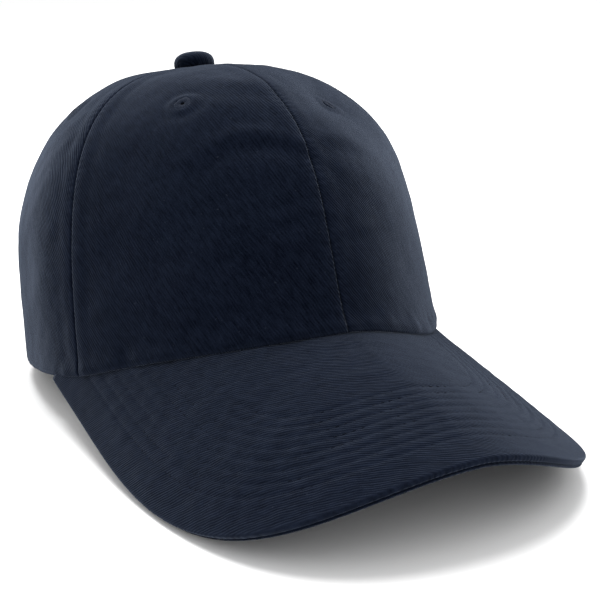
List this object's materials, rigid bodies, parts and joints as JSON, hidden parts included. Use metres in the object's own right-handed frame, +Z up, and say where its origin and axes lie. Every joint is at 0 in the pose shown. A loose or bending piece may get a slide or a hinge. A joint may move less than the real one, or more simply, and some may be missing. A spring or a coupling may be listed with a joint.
{
  "type": "baseball cap",
  "caption": "Six-panel baseball cap with a curved bill, covered button, sweatband and a rear strap with a flip buckle, standing on its bill and rear rim.",
  "frame": {"origin": "centre of the footprint on the surface that the cap stands on", "axes": "+Z up, bill towards -Y, wearer's left towards +X; the cap stands on the two corners of its bill and the back of its rim"},
  "size_m": [0.162, 0.284, 0.1282],
  "materials": {
    "twill": "brushed cotton twill",
    "thread": "embroidery thread",
    "buckram": "stiffened open weave",
    "tape": "woven tape",
    "sweatband": "cotton twill",
    "board": "moulded",
    "button_metal": "pressed",
    "brass": "antique"
  },
  "bodies": {
    "root": {"bill_board": "board", "bill_bottom_cover": "twill", "bill_top_cover": "twill", "buckle_frame": "brass", "buckle_pin": "brass", "buckle_tab": "twill", "buckram_left": "buckram", "buckram_right": "buckram", "button_cover": "twill", "button_post": "button_metal", "button_shell": "button_metal", "button_washer": "button_metal", "front_eyelet_left": "thread", "front_eyelet_right": "thread", "front_panel_left": "twill", "front_panel_right": "twill", "opening_binding": "tape", "rear_eyelet_left": "thread", "rear_eyelet_right": "thread", "rear_panel_left": "twill", "rear_panel_right": "twill", "seam_tape_front": "tape", "seam_tape_front_left": "tape", "seam_tape_front_right": "tape", "seam_tape_rear": "tape", "seam_tape_rear_left": "tape", "seam_tape_rear_right": "tape", "side_eyelet_left": "thread", "side_eyelet_right": "thread", "side_panel_left": "twill", "side_panel_right": "twill", "sweatband_left": "sweatband", "sweatband_right": "sweatband"},
    "strap": {"strap": "twill"},
    "lever": {"buckle_lever": "brass"}
  },
  "joints": [
    {"name": "strap_adjust", "type": "hinge", "parent": "root", "child": "strap", "pos_m": [0, 0.06273, 0.01654], "axis": [0, -0.1837, -0.983], "range_deg": [-6.4, 16]},
    {"name": "lever_flip", "type": "hinge", "parent": "root", "child": "lever", "pos_m": [0.02332, 0.1333, 0.00335], "axis": [0, -0.1837, -0.983], "range_deg": [0, 110]}
  ]
}
